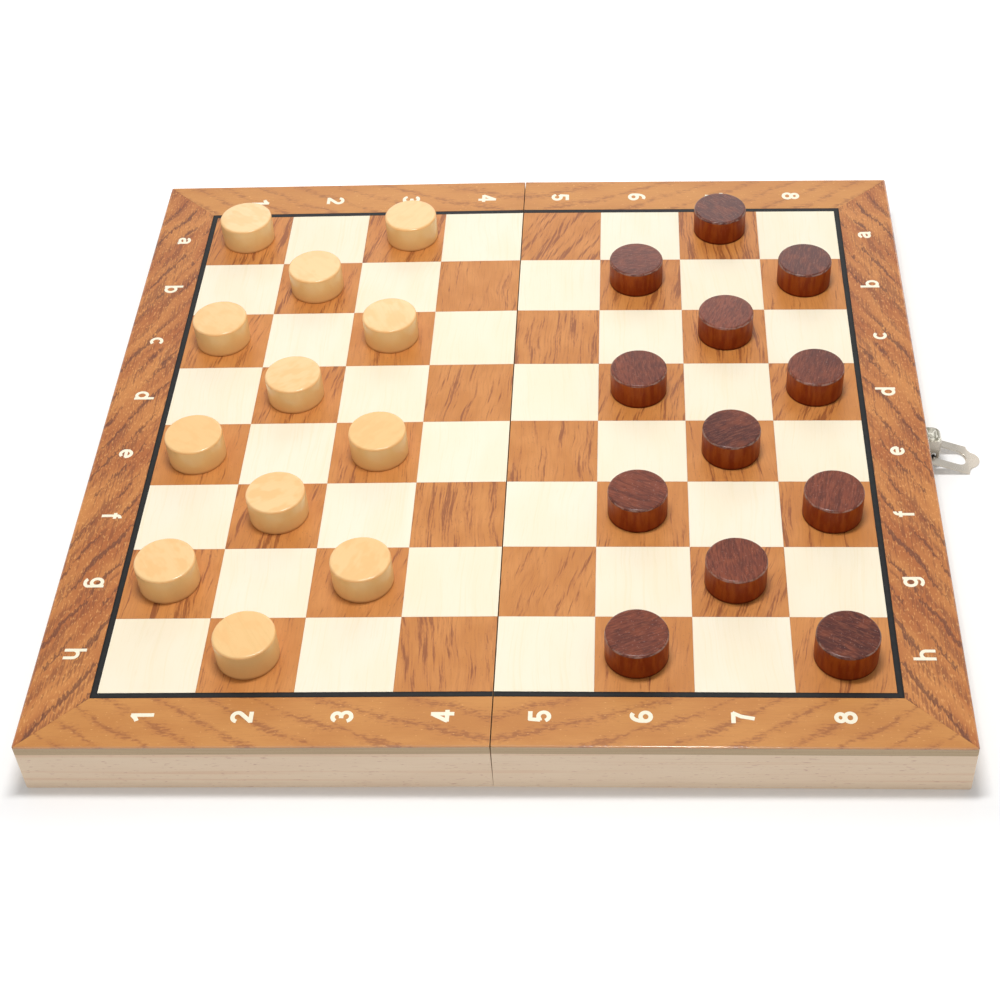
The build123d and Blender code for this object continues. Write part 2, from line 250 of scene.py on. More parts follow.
softboxes = (
    # name, place, width, depth, watts
    ("overhead_softbox", (0.01, -0.03, 0.72), 0.21, 0.07, 3.15),
    ("back_softbox", (0.0, 0.75, 0.45), 0.6, 0.25, 0.9),
    ("tray_softbox", (0.0, 0.0, -0.6), 0.2, 0.2, 0.85),
)
for name, spot, wide, deep, watts in softboxes:
    lamp = bpy.data.lights.new(name, "AREA")
    lamp.shape = "RECTANGLE"
    lamp.size, lamp.size_y = wide, deep
    lamp.energy = watts
    box = bpy.data.objects.new(name, lamp)
    box.matrix_world = (Matrix.Translation(spot)
                        @ (-Vector(spot)).to_track_quat("-Z", "Y").to_matrix().to_4x4())
    scene.collection.objects.link(box)


# Rails: four strips of pale pine glued up as a frame under each half, sawn and sanded, with their
# free arrises eased by hand. The front and back ones run along X, the outer and seam ones along Y.
weld_distance = 0.001 * millimetre
flat_angle = radians(0.3)
eased_angle = radians(40)
smooth_angle = radians(35)
rail_ease = 0.3 * millimetre
seam_ease = 0.02 * millimetre
near_seam = 0.6 * millimetre
half_lean = radians(0.4149)


def in_half(middle):
    """How far out from the seam and how high a point lies, measured square to its own half."""
    turned_back = Matrix.Rotation(-half_lean if middle.x > 0 else half_lean, 3, "Y") @ middle
    return abs(turned_back.x), turned_back.z


def plain(piece):
    """The piece with its modifiers made a plain mesh, and its broad faces shaded flat."""
    piece.modifiers.new("flat_faces", "WEIGHTED_NORMAL").keep_sharp = True
    graph = bpy.context.evaluated_depsgraph_get()
    baked = bpy.data.meshes.new_from_object(
        piece.evaluated_get(graph), preserve_all_data_layers=True, depsgraph=graph)
    piece.modifiers.clear()
    piece.data = baked
    piece.data.name = piece.name
    return piece


def eased_copy(node, finish, arrises, steps=3):
    """The CAD piece as one closed skin. Each kind of arris gives its width and picks its edges."""
    skin = bmesh.new()
    skin.from_mesh(frame["nodes"][node].data)
    bmesh.ops.remove_doubles(skin, verts=skin.verts, dist=weld_distance)
    bmesh.ops.dissolve_limit(skin, angle_limit=flat_angle, verts=skin.verts, edges=skin.edges)
    for width, chosen in arrises:
        edges = [edge for edge in skin.edges if edge.is_manifold
                 and edge.calc_face_angle() > eased_angle
                 and chosen((edge.verts[0].co + edge.verts[1].co) / 2)]
        bmesh.ops.bevel(skin, geom=edges, offset=width, segments=steps, profile=0.5, affect="EDGES")
    mesh = bpy.data.meshes.new(node + "_eased")
    skin.to_mesh(mesh)
    skin.free()
    mesh.shade_smooth()
    mesh.set_sharp_from_angle(angle=smooth_angle)
    mesh.materials.clear()
    mesh.materials.append(finish.material)
    piece = bpy.data.objects.new(mesh.name, mesh)
    scene.collection.objects.link(piece)
    plain(piece)
    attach(piece, frame["nodes"][node]["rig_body"])
    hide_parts(node)


def pine(name, along_x):
    """Pale pine with two or three soft growth lines, and short faint reddish resin dashes."""
    wood = Finish(name, roughness=0.6, specular_ior_level=0.3)
    x, y, z = wood.place()
    along, across = (x, y) if along_x else (y, x)
    depth = across + wood.noise(along / 60, across / 9, z / 20, 2) * 1.6
    lines = wood.rise(wood.noise(along / 240, depth / 3.2, z / 2.1, 2, 0.6), 0.56, 0.68)
    fibres = wood.noise(along / 12, across * 2.2, z * 2.2, 2)
    dashes = wood.rise(wood.noise(along / 2.6, across * 2.4, z * 2.6, 1), 0.66, 0.76)
    blush = wood.noise(along / 30, across / 10, z / 6, 1)
    colour = wood.mix(blush, tint(250, 227, 199), tint(244, 217, 189))
    colour = wood.mix(lines * 0.45, colour, tint(232, 190, 154))
    colour = wood.mix(wood.rise(fibres, 0.5, 0.8) * 0.25, colour, tint(226, 196, 166))
    colour = wood.mix(dashes * 0.5, colour, tint(196, 142, 126))
    wood.paint("Base Color", colour)
    wood.relief(fibres, 0.02)
    return wood


rail_woods = {"front": pine("pine_along_x", True), "outer": pine("pine_along_y", False)}
rail_woods["back"], rail_woods["seam"] = rail_woods["front"], rail_woods["outer"]
hinge_middle = 88.0 * millimetre
hinge_reach = 10.6 * millimetre
leaf_out = 9 * millimetre
rim_height = 0.2 * millimetre


def on_rim(middle):
    out, high = in_half(middle)
    beside_hinge = out < leaf_out and abs(abs(middle.y) - hinge_middle) < hinge_reach
    return high < rim_height and out >= near_seam and not beside_hinge


def at_seam(middle):
    out, _ = in_half(middle)
    return out < near_seam and abs(abs(middle.y) - hinge_middle) > hinge_reach


for half in ("left", "right"):
    for place, wood in rail_woods.items():
        eased_copy(f"{half}_{place}_rail", wood,
                   ((rail_ease, on_rim), (seam_ease, at_seam)))


# Core boards: a 3 mm panel of grey-brown fibreboard glued on each frame. Only its cut edge shows
# above the rails, and its bare face is the bottom of the tray inside.
def fibreboard():
    board = Finish("fibreboard", roughness=0.75, specular_ior_level=0.2)
    x, y, z = board.place()
    layers = board.noise(x / 40, y / 40, z * 2.2, 2)
    specks = board.noise(x * 1.5, y * 1.5, z * 3, 2)
    colour = board.mix(board.rise(layers, 0.3, 0.7), tint(209, 185, 152), tint(197, 172, 140))
    colour = board.mix(board.rise(specks, 0.55, 0.75) * 0.3, colour, tint(150, 124, 98))
    board.paint("Base Color", colour)
    board.relief(specks, 0.04)
    return board


core = fibreboard()
for half in ("left", "right"):
    eased_copy(f"{half}_panel", core, ((seam_ease, at_seam),))


# Steel sheets: thin rolled plates let into the core boards under the squares, which the men's
# magnets hold on to. They are bright and slightly oily, and the veneer hides them.
def dress(nodes, finish):
    """Gives carried-over CAD pieces their finish."""
    for node in nodes:
        materials = frame["nodes"][node].data.materials
        materials.clear()
        materials.append(finish.material)


rolled = Finish("rolled_steel", metallic=1.0)
x, y, z = rolled.place()
drawn_marks = rolled.noise(x / 2, y / 60, z, 2)
rolled.paint("Base Color", rolled.mix(drawn_marks, tint(204, 205, 207), tint(176, 178, 181)))
rolled.paint("Roughness", drawn_marks * 0.25 + 0.2)
dress(("left_steel_sheet", "right_steel_sheet"), rolled)


# Border veneers: red-brown sliced veneer round the squares, mitred at the corners. The end strips
# have sparse broken growth lines that dip towards the seam; the side strips, cut at a slant, are
# full of dark streaks and small golden flecks. Each pair is a mirror image, cut from one sheet.
side_slant = radians(26)
veneer_ease = 0.34 * millimetre
board_edge = (144.6 * millimetre, 143.6 * millimetre)
veneer_middle = 19.75 * millimetre
veneer_gloss = {"specular_ior_level": 0.45, "coat_roughness": 0.12, "coat_ior": 1.7}
veneer_roughness = 0.4
seam_wear_and_light_width = (0.08, 0.24)
bead_start = (144.5, 143.5)
back_strip_place = 57.3
side_sheet_place = 23.9
growth_spacing = 9.5
ridge_spacing = 6.5
painted_haze_span = (120.0, 130.0)


def wear_and_light_at_seam(wood, x, y, colour):
    """The colour made pale along the seam's arris: partly wear, partly painted light lifting the
    seam's shade.
    """
    pale_marks = wood.math("ABSOLUTE", x) + (wood.noise(x, y / 6, 0.0, 2) - 0.5) * 0.2
    return wood.mix(1 - wood.rise(pale_marks, *seam_wear_and_light_width), colour, tint(226, 198, 164))


def lacquer(wood, x, y, grain):
    """One satin coat, which has run a little thicker and glossier along the outer arris."""
    out = wood.math("MAXIMUM", wood.math("ABSOLUTE", x) - bead_start[0],
                    wood.math("ABSOLUTE", y) - bead_start[1])
    bead = wood.rise(out + (wood.noise(x / 3, y / 3, 0.0, 2) - 0.5) * 0.5, 0.0, 0.15)
    wood.paint("Roughness", veneer_roughness + grain * 0.1 - bead * 0.25)
    wood.paint("Coat Weight", bead)


def streaks(wood, across, askew, along, seed):
    """Short dark hairs along the grain, gathered in bands that lie askew to it."""
    band = wood.noise(askew / 2.7, along / 30, seed, 2)
    hairs = wood.noise(across * 1.6, along / 15, seed + 3, 2)
    dashes = wood.noise(across * 2.4, along / 2.6, seed + 6, 2, 0.6)
    return band * 1.15 + hairs * 0.9 + dashes * 0.4


def end_veneer():
    wood = Finish("end_border_veneer", **veneer_gloss)
    x, y, _ = wood.place()
    strip = wood.math("GREATER_THAN", y, 0.0) * back_strip_place
    reach = wood.math("ABSOLUTE", x)
    sway = wood.noise(reach / 19, y / 20, strip, 3, 0.55) * 8
    dip = reach * (reach * 0.0022 + 0.2)
    line = wood.math("PINGPONG", (y - dip + sway) / growth_spacing, 0.5) * 2
    ticks = wood.noise(reach / 2.2, y * 1.3, strip, 2, 0.6)
    patches = wood.noise(reach / 13, y / 7, strip + 5, 2)
    strength = line + (ticks - 0.5) * 1.8 + (patches - 0.5) * 1.1
    lines = wood.rise(strength, 0.86, 1.2)
    follow = wood.rise(strength, 0.55, 1.05)
    cloud = wood.noise(reach / 30, y / 10, strip, 2)
    # Painted haze: the back strip made lighter towards its far edge, standing in for sheen and
    # light.
    painted_back_haze = wood.rise(y, *painted_haze_span) * 0.1
    fibres = wood.noise(reach / 5, y * 1.9, strip, 3, 0.6)
    specks = wood.rise(wood.noise(reach / 1.2, y * 1.8, strip + 2, 1), 0.68, 0.77)
    colour = wood.mix(wood.rise(cloud, 0.35, 0.68), tint(204, 139, 70), tint(193, 126, 59))
    colour = wood.mix(wood.rise(fibres, 0.42, 0.78) * 0.35, colour, tint(182, 114, 58))
    colour = wood.mix(follow * 0.5, colour, tint(166, 98, 48))
    colour = wood.mix(lines * 0.4, colour, tint(128, 68, 32))
    colour = wood.mix(specks * 0.5, colour, tint(236, 184, 112))
    colour = wood.mix(painted_back_haze, colour, tint(234, 168, 104))
    wood.paint("Base Color", wear_and_light_at_seam(wood, x, y, colour))
    lacquer(wood, x, y, fibres)
    wood.relief(1 - lines * 0.5 - fibres * 0.3, 0.015)
    return wood


def side_veneer():
    wood = Finish("side_border_veneer", **veneer_gloss)
    x, y, _ = wood.place()
    reach = wood.math("ABSOLUTE", x)
    sway = wood.noise(reach / 15, y / 26, side_sheet_place, 2) * 6
    across = reach * cos(side_slant) + y * sin(side_slant) + sway
    along = y * cos(side_slant) - reach * sin(side_slant)
    strength = streaks(wood, reach, across, y, side_sheet_place)
    smear = wood.rise(strength, 1.2, 1.44)
    jag = wood.noise(reach * 1.3, y / 3, 25.9, 3, 0.6)
    ridge = wood.math("PINGPONG", (across + (jag - 0.5) * 4.5) / ridge_spacing, 0.5) * 2
    patches = wood.noise(across / 6, along / 18, 27.0, 2)
    jagged = wood.rise(ridge + (patches - 0.5) * 1.3, 0.84, 1.0)
    flecks = wood.rise(wood.noise(reach * 1.7, y / 1.6, 32.9, 1), 0.57, 0.7)
    cloud = wood.noise(across / 7, along / 30, 27.9, 2)
    colour = wood.mix(wood.rise(cloud, 0.3, 0.7), tint(201, 130, 66), tint(171, 96, 42))
    colour = wood.mix(smear * 0.6, colour, tint(120, 60, 28))
    colour = wood.mix(jagged * 0.75, colour, tint(94, 44, 22))
    colour = wood.mix(flecks * (1 - jagged * 0.7) * 0.5, colour, tint(230, 168, 98))
    wood.paint("Base Color", colour)
    lacquer(wood, x, y, jag)
    wood.relief(1 - smear * 0.5 - jagged * 0.4, 0.02)
    return wood


def on_outer_top(middle):
    out, high = in_half(middle)
    return high > veneer_middle and (out > board_edge[0] or abs(middle.y) > board_edge[1])


veneer_arrises = ((veneer_ease, on_outer_top),)
end_wood, side_wood = end_veneer(), side_veneer()
for half in ("left", "right"):
    eased_copy(f"{half}_end_borders", end_wood, veneer_arrises)
    eased_copy(f"{half}_side_border", side_wood, veneer_arrises)


# Black line: a strip of dyed veneer between the squares and the border, its middle worn a little
# lighter than its edges.
line_inner = 122.8
line_width = 2.0


def dyed():
    line = Finish("black_line", roughness=0.45, specular_ior_level=0.15)
    x, y, _ = line.place()
    out = line.math("MAXIMUM", line.math("ABSOLUTE", x), line.math("ABSOLUTE", y)) - line_inner
    middle = 1 - line.math("ABSOLUTE", out / (line_width / 2) - 1)
    grain = line.noise(x / 2, y / 2, 0.0, 2)
    colour = line.mix(line.rise(middle, 0.1, 0.7) * grain, tint(25, 25, 25), tint(44, 45, 46))
    line.paint("Base Color", wear_and_light_at_seam(line, x, y, colour))
    return line


stained = dyed()
for half in ("left", "right"):
    eased_copy(f"{half}_line_inlay", stained, veneer_arrises)


# Squares: 64 tiles of veneer pressed side by side, pale maple and red-brown, each cut from another
# place of its sheet. Grain runs from front to back, a little askew on every tile.
square = 30.7
sheet_wide = 400
sheet_long = 700


def tile(finish, x, y):
    """Place within a tile, turned askew a little, and three random numbers for the tile."""
    column = finish.math("FLOOR", x / square)
    row = finish.math("FLOOR", y / square)
    dice = finish.add("ShaderNodeTexWhiteNoise", {"noise_dimensions": "2D"}, {
        "Vector": finish.add("ShaderNodeCombineXYZ", inputs={0: column, 1: row})}, output="Color")
    first, second, third = finish.split(dice)
    along = y - (row + 0.5) * square
    across = x - (column + 0.5) * square + along * (first - 0.5) * 0.2
    return across + second * sheet_wide, along + third * sheet_long, first, second, third


def maple():
    wood = Finish("light_veneer", **dict(veneer_gloss, specular_ior_level=0.3))
    x, y, _ = wood.place()
    across, along, first, second, third = tile(wood, x, y)
    across = across + wood.noise(across / 20, along / 24, first * 20, 1) * 4
    lines = wood.noise(across / 0.8, along / 40, first * 40, 3, 0.6)
    fibres = wood.noise(across * 2.2, along / 6, second * 30, 2)
    cloud = wood.noise(across / 12, along / 30, third * 20, 1)
    colour = wood.mix(wood.rise(cloud, 0.35, 0.7), tint(252, 242, 219), tint(251, 238, 211))
    colour = wood.mix(third * 0.4, colour, tint(250, 236, 206))
    colour = wood.mix(wood.rise(lines, 0.5, 0.72) * 0.25, colour, tint(240, 222, 176))
    colour = wood.mix(wood.rise(fibres, 0.55, 0.8) * 0.15, colour, tint(236, 214, 168))
    wood.paint("Base Color", wear_and_light_at_seam(wood, x, y, colour))
    wood.paint("Roughness", veneer_roughness + fibres * 0.08)
    wood.relief(1 - fibres, 0.008)
    return wood


def red_brown():
    wood = Finish("dark_veneer", **veneer_gloss)
    x, y, _ = wood.place()
    across, along, first, second, third = tile(wood, x, y)
    across = across + wood.noise(across / 12, along / 16, first * 9, 1) * 3
    askew = across - along * (second - 0.2) * 0.8
    strength = streaks(wood, (across + askew) / 2, askew, along, second * 50)
    strength = strength + (third - 0.5) * 0.16
    dark = wood.rise(strength, 1.33, 1.52)
    follow = wood.rise(strength, 1.16, 1.45)
    fibres = wood.noise(across * 1.7, along / 9, third * 12, 2)
    pores = wood.rise(wood.noise(across * 2.0, along / 1.2, third * 16, 1), 0.68, 0.75)
    cloud = wood.noise(across / 9, along / 14, third * 31, 2)
    colour = wood.mix(wood.rise(cloud, 0.3, 0.7), tint(210, 140, 73), tint(198, 127, 59))
    colour = wood.mix(wood.rise(fibres, 0.4, 0.76) * 0.4, colour, tint(184, 114, 58))
    colour = wood.mix(follow * 0.45, colour, tint(172, 100, 50))
    colour = wood.mix(dark * 0.7, colour, tint(126, 63, 27))
    colour = wood.mix(pores * 0.4, colour, tint(146, 88, 54))
    wood.paint("Base Color", wear_and_light_at_seam(wood, x, y, colour))
    wood.paint("Roughness", veneer_roughness + fibres * 0.1)
    wood.relief(1 - dark * 0.5 - fibres * 0.3, 0.015)
    return wood


pale, brown = maple(), red_brown()
for half in ("left", "right"):
    eased_copy(f"{half}_light_squares", pale, veneer_arrises)
    eased_copy(f"{half}_dark_squares", brown, veneer_arrises)


# Coordinates: plain digits and letters printed in cream paint on the border, one film for each
# half. Each is drawn with a broad pen of one width, and strokes that overlap are merged.
letter_height = 7.1 * millimetre
digit_pen = 0.19
letter_pen = 0.165
film = 0.03 * millimetre
playing_height = 20.0 * millimetre
digit_rows = (-132.45 * millimetre, 133.2 * millimetre)
printed_off = {"left": 0.5 * millimetre, "right": -1.05 * millimetre}
letter_foot = {"left": 136.65 * millimetre, "right": 136.2 * millimetre}
letter_off = {"left": 0.65 * millimetre, "right": -0.15 * millimetre}
stroke_merge = 1e-5


def bow(x, y, wide, high, start, end, steps=18):
    """Points of a bow round x, y from one angle to another."""
    turns = [radians(start + (end - start) * i / steps) for i in range(steps + 1)]
    return [(x + wide * cos(turn), y + high * sin(turn)) for turn in turns]


pen_strokes = {
    "1": [[(0.42, 0.0), (0.42, 1.0)], [(0.1, 0.71), (0.24, 0.78), (0.44, 0.96)]],
    "2": [bow(0.35, 0.68, 0.235, 0.22, 172, -38) + [(0.15, 0.14), (0.1, 0.06)],
          [(0.04, 0.1), (0.64, 0.1)]],
    "3": [bow(0.32, 0.715, 0.21, 0.185, 165, -90), bow(0.33, 0.315, 0.235, 0.215, 90, -168),
          [(0.25, 0.53), (0.36, 0.53)]],
    "4": [[(0.47, 0.96), (0.12, 0.36), (0.08, 0.27)], [(0.04, 0.3), (0.68, 0.3)],
          [(0.47, 0.0), (0.47, 1.0)]],
    "5": [[(0.14, 0.9), (0.62, 0.9)], [(0.2, 0.96), (0.15, 0.46)],
          [(0.14, 0.5)] + bow(0.34, 0.325, 0.23, 0.225, 132, -162)],
    "6": [bow(0.35, 0.315, 0.235, 0.215, 0, 200), bow(0.35, 0.315, 0.235, 0.215, 180, 380),
          bow(0.4, 0.42, 0.285, 0.48, 190, 62)],
    "7": [[(0.06, 0.9), (0.64, 0.9)], [(0.62, 0.94), (0.42, 0.58), (0.3, 0.0)]],
    "8": [bow(0.35, 0.725, 0.2, 0.175, 0, 200), bow(0.35, 0.725, 0.2, 0.175, 180, 380),
          bow(0.35, 0.315, 0.235, 0.215, 0, 200), bow(0.35, 0.315, 0.235, 0.215, 180, 380)],
    "a": [bow(0.3, 0.47, 0.19, 0.165, 168, 0) + [(0.49, 0.14), (0.54, 0.0)],
          [(0.49, 0.4), (0.28, 0.36)] + bow(0.25, 0.225, 0.15, 0.135, 90, 270)
          + [(0.38, 0.1), (0.49, 0.2)]],
    "b": [[(0.1, 0.0), (0.1, 1.0)], bow(0.33, 0.36, 0.225, 0.27, 0, 200),
          bow(0.33, 0.36, 0.225, 0.27, 180, 380)],
    "c": [bow(0.34, 0.36, 0.235, 0.27, 45, 315)],
    "d": [[(0.56, 0.0), (0.56, 1.0)], bow(0.33, 0.36, 0.225, 0.27, 0, 200),
          bow(0.33, 0.36, 0.225, 0.27, 180, 380)],
    "e": [[(0.12, 0.36), (0.6, 0.36)], bow(0.34, 0.36, 0.235, 0.27, -4, 315)],
    "f": [[(0.22, 0.0), (0.22, 0.72)] + bow(0.4, 0.74, 0.18, 0.16, 180, 90)[1:],
          [(0.04, 0.64), (0.42, 0.64)]],
    "g": [bow(0.33, 0.38, 0.225, 0.25, 0, 200), bow(0.33, 0.38, 0.225, 0.25, 180, 380),
          [(0.56, 0.73), (0.56, 0.0)] + bow(0.335, 0.0, 0.225, 0.17, 0, -155)[1:]],
    "h": [[(0.1, 0.0), (0.1, 1.0)], bow(0.33, 0.42, 0.22, 0.21, 160, 0) + [(0.55, 0.0)]],
}


def broad(stroke, pen):
    """Outline of a pen stroke, mitred at its turns."""
    points = [Vector(point) for point in stroke]
    runs = [(after - before).normalized() for before, after in zip(points, points[1:])]
    sides = []
    for before, after in zip([runs[0]] + runs, runs + [runs[-1]]):
        course = (before + after).normalized()
        sides.append(Vector((-course.y, course.x)) * pen / 2 / max(0.5, course.dot(after)))
    return ([point - side for point, side in zip(points, sides)]
            + [point + side for point, side in zip(points, sides)][::-1])


def printed(skin, sign, spot, turn, lean):
    """Adds one digit or letter to the skin, its foot on the spot of its leaning half."""
    corners, outlines = [], []
    for stroke in pen_strokes[sign]:
        outline = broad(stroke, digit_pen if sign.isdigit() else letter_pen)
        outlines.append(list(range(len(corners), len(corners) + len(outline))))
        corners += outline
    points, _, faces, _, _, inside = delaunay_2d_cdt(corners, [], outlines, 0, stroke_merge)
    widths = [point.x for point in points]
    foot = Vector(((min(widths) + max(widths)) / 2, min(point.y for point in points), 0))
    lay = (Matrix.Rotation(lean, 4, "Y") @ Matrix.Translation(spot)
           @ Matrix.Rotation(turn, 4, "Z") @ Matrix.Scale(letter_height, 4)
           @ Matrix.Translation(-foot))
    corners = [skin.verts.new(lay @ point.to_3d()) for point in points]
    for face, strokes in zip(faces, inside):
        if strokes:
            skin.faces.new([corners[i] for i in face])


def coordinates(half, side):
    """All the digits and letters of one half as one thin film."""
    lean = side * half_lean
    skin = bmesh.new()
    top = playing_height + film
    for sign in "1234" if side < 0 else "5678":
        middle = (int(sign) - 4.5) * square * millimetre + printed_off[half]
        for row, turn in zip(digit_rows, (pi / 2, -pi / 2)):
            printed(skin, sign, (middle + letter_height / 2 * sin(turn), row, top), turn, lean)
    for row, sign in enumerate("abcdefgh"):
        back = (3.5 - row) * square * millimetre + letter_off[half]
        printed(skin, sign, (side * letter_foot[half], back, top), side * pi / 2, lean)
    bmesh.ops.dissolve_limit(skin, angle_limit=flat_angle, verts=skin.verts, edges=skin.edges)
    loose = [vert for vert in skin.verts if not vert.link_faces]
    bmesh.ops.delete(skin, geom=loose, context="VERTS")
    bmesh.ops.recalc_face_normals(skin, faces=skin.faces)
    for face in skin.faces:
        if face.normal.z < 0:
            face.normal_flip()
    walls = bmesh.ops.extrude_face_region(skin, geom=skin.faces[:])
    for vert in walls["geom"]:
        if isinstance(vert, bmesh.types.BMVert):
            vert.co.z -= film
    bmesh.ops.recalc_face_normals(skin, faces=skin.faces)
    mesh = bpy.data.meshes.new(f"{half}_coordinates")
    skin.to_mesh(mesh)
    skin.free()
    piece = bpy.data.objects.new(mesh.name, mesh)
    scene.collection.objects.link(piece)
    mesh.materials.append(cream_paint.material)
    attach(piece, f"{half}_half")


cream_paint = Finish("coordinate_paint", roughness=0.4)
x, y, _ = cream_paint.place()
cover = cream_paint.noise(x * 1.3, y * 1.3, 0.0, 2)
cream_paint.paint("Base Color", cream_paint.mix(cover, tint(255, 250, 228), tint(248, 238, 208)))
coordinates("left", -1)
coordinates("right", 1)


# Hinges: two small brass butt hinges let into the rims at the seam, each with two stamped leaves,
# rolled knuckles and a pin, fixed with slotted countersunk screws.
def brass():
    metal = Finish("hinge_brass", metallic=1.0)
    x, y, z = metal.place()
    smear = metal.noise(x * 0.8, y * 0.8, z * 0.8, 3)
    brushed = metal.noise(x * 8, y / 3, z * 8, 1)
    metal.paint("Base Color", metal.mix(smear, tint(224, 194, 128), tint(196, 158, 92)))
    metal.paint("Roughness", smear * 0.2 + brushed * 0.1 + 0.2)
    return metal


def anywhere(middle):
    return True


hinge_ease = 0.08 * millimetre
hinge_metal = brass()
for hinge in ("front_hinge", "back_hinge"):
    for part in ("left_leaf", "right_leaf", "pin"):
        eased_copy(f"{hinge}_{part}", hinge_metal, ((hinge_ease, anywhere),), 2)
dress(("left_hinge_screws", "right_hinge_screws"), hinge_metal)


# Hasp and catch: pressed sheet-steel fittings, nickel plated, nailed to the outer sides. The
# housing is drawn out of the plate, and the slotted loop swings on two lugs in its cheeks. The
# sizes of its finish are in millimetres from the middle of the board.
dome_start = (11.0, 11.6)
dome_back = (145.7, 145.9)
dome_half_width = 3.4
loop_tip_painted_light = (157.0, 165.0)
hollow_half_width = 2.6
hollow_back = (145.6, 145.7)
hollow_front = 151.25
hollow_top = 10.8
lug_out, lug_up = 149.2, 4.1
lug_patch = 0.9
lug_patch_half_width = 3.5


def nickel():
    metal = Finish("nickel_plate", metallic=1.0)
    x, y, z = metal.place()
    smear = metal.noise(x / 3, y / 3, z / 3, 3)
    specks = metal.rise(metal.noise(x * 2, y * 2, z * 2, 2), 0.62, 0.75)
    aside = metal.math("ABSOLUTE", y)
    # The dome area, where reflections and highlight lines are painted.
    drawn = metal.rise(z, *dome_start) * metal.rise(dome_half_width - aside, 0.0, 0.2)
    drawn = drawn * metal.rise(x, *dome_back)
    painted_dark_reflections = metal.rise(metal.noise(x / 1.5, y / 4.5, z / 1.1, 1), 0.42, 0.6)
    highlight_noise = metal.noise(x / 1.7, y / 4.5, z / 1.2 + 5.0, 1)
    painted_highlight_lines = metal.rise(highlight_noise, 0.45, 0.49) * (1 - metal.rise(highlight_noise, 0.52, 0.56))
    colour = metal.mix(smear, tint(196, 189, 178), tint(168, 161, 150))
    # Painted light: the loop lighter towards its tip, where its bent-up lip faces the light.
    colour = metal.mix(metal.rise(x, *loop_tip_painted_light) * 0.7, colour, tint(228, 216, 200))
    # Painted reflections on the dome: a greyer tone and dark patches, with thin painted highlight
    # lines.
    colour = metal.mix(drawn * 0.7, colour, tint(178, 174, 160))
    colour = metal.mix(drawn * painted_dark_reflections * 0.8, colour, tint(124, 120, 102))
    colour = metal.mix(drawn * painted_highlight_lines, colour, tint(230, 226, 212))
    # Painted shade: the inside of the housing dark, seen through its opening.
    deep = metal.rise(hollow_half_width - aside, 0.0, 0.1) * metal.rise(hollow_front - x, 0.0, 0.1)
    deep = deep * metal.rise(x, *hollow_back) * metal.rise(hollow_top - z, 0.0, 0.2)
    # Painted shade: a dark patch round the lug, so the opening looks dark there.
    off_lug = metal.math("MAXIMUM", metal.math("ABSOLUTE", x - lug_out),
                         metal.math("ABSOLUTE", z - lug_up))
    painted_shade_at_lug = metal.rise(lug_patch_half_width - aside, 0.0, 0.1)
    painted_shade_at_lug = painted_shade_at_lug * metal.rise(lug_patch - off_lug, 0.0, 0.1)
    deep = metal.math("MAXIMUM", deep, painted_shade_at_lug)
    # The painted shade inside the housing and round the lug.
    colour = metal.mix(deep, colour, tint(38, 35, 32))
    metal.paint("Base Color", colour)
    metal.paint("Roughness", smear * 0.16 + specks * 0.12 + 0.2)
    return metal


plate_ease = 0.14 * millimetre
plated = nickel()
for node in ("hasp_plate", "hasp_loop", "catch_plate"):
    eased_copy(node, plated, ((plate_ease, anywhere),), 2)
dress(("hasp_nails", "catch_nails"), plated)


# Men: discs turned from birch, sanded, half of them stained dark, and varnished, with a small
# magnet glued in a blind hole in the foot. Each was cut from its own bit of wood, so its grain
# runs its own way.
fillet_points = 6
axis_radius = 1e-6
turned_merge = 1e-5
man_height = 10.4 * millimetre
shoulder_span = (9.5, 9.8)
rim_span = (10.1, 10.35)
foot_shade_span = (0.2, 1.3)


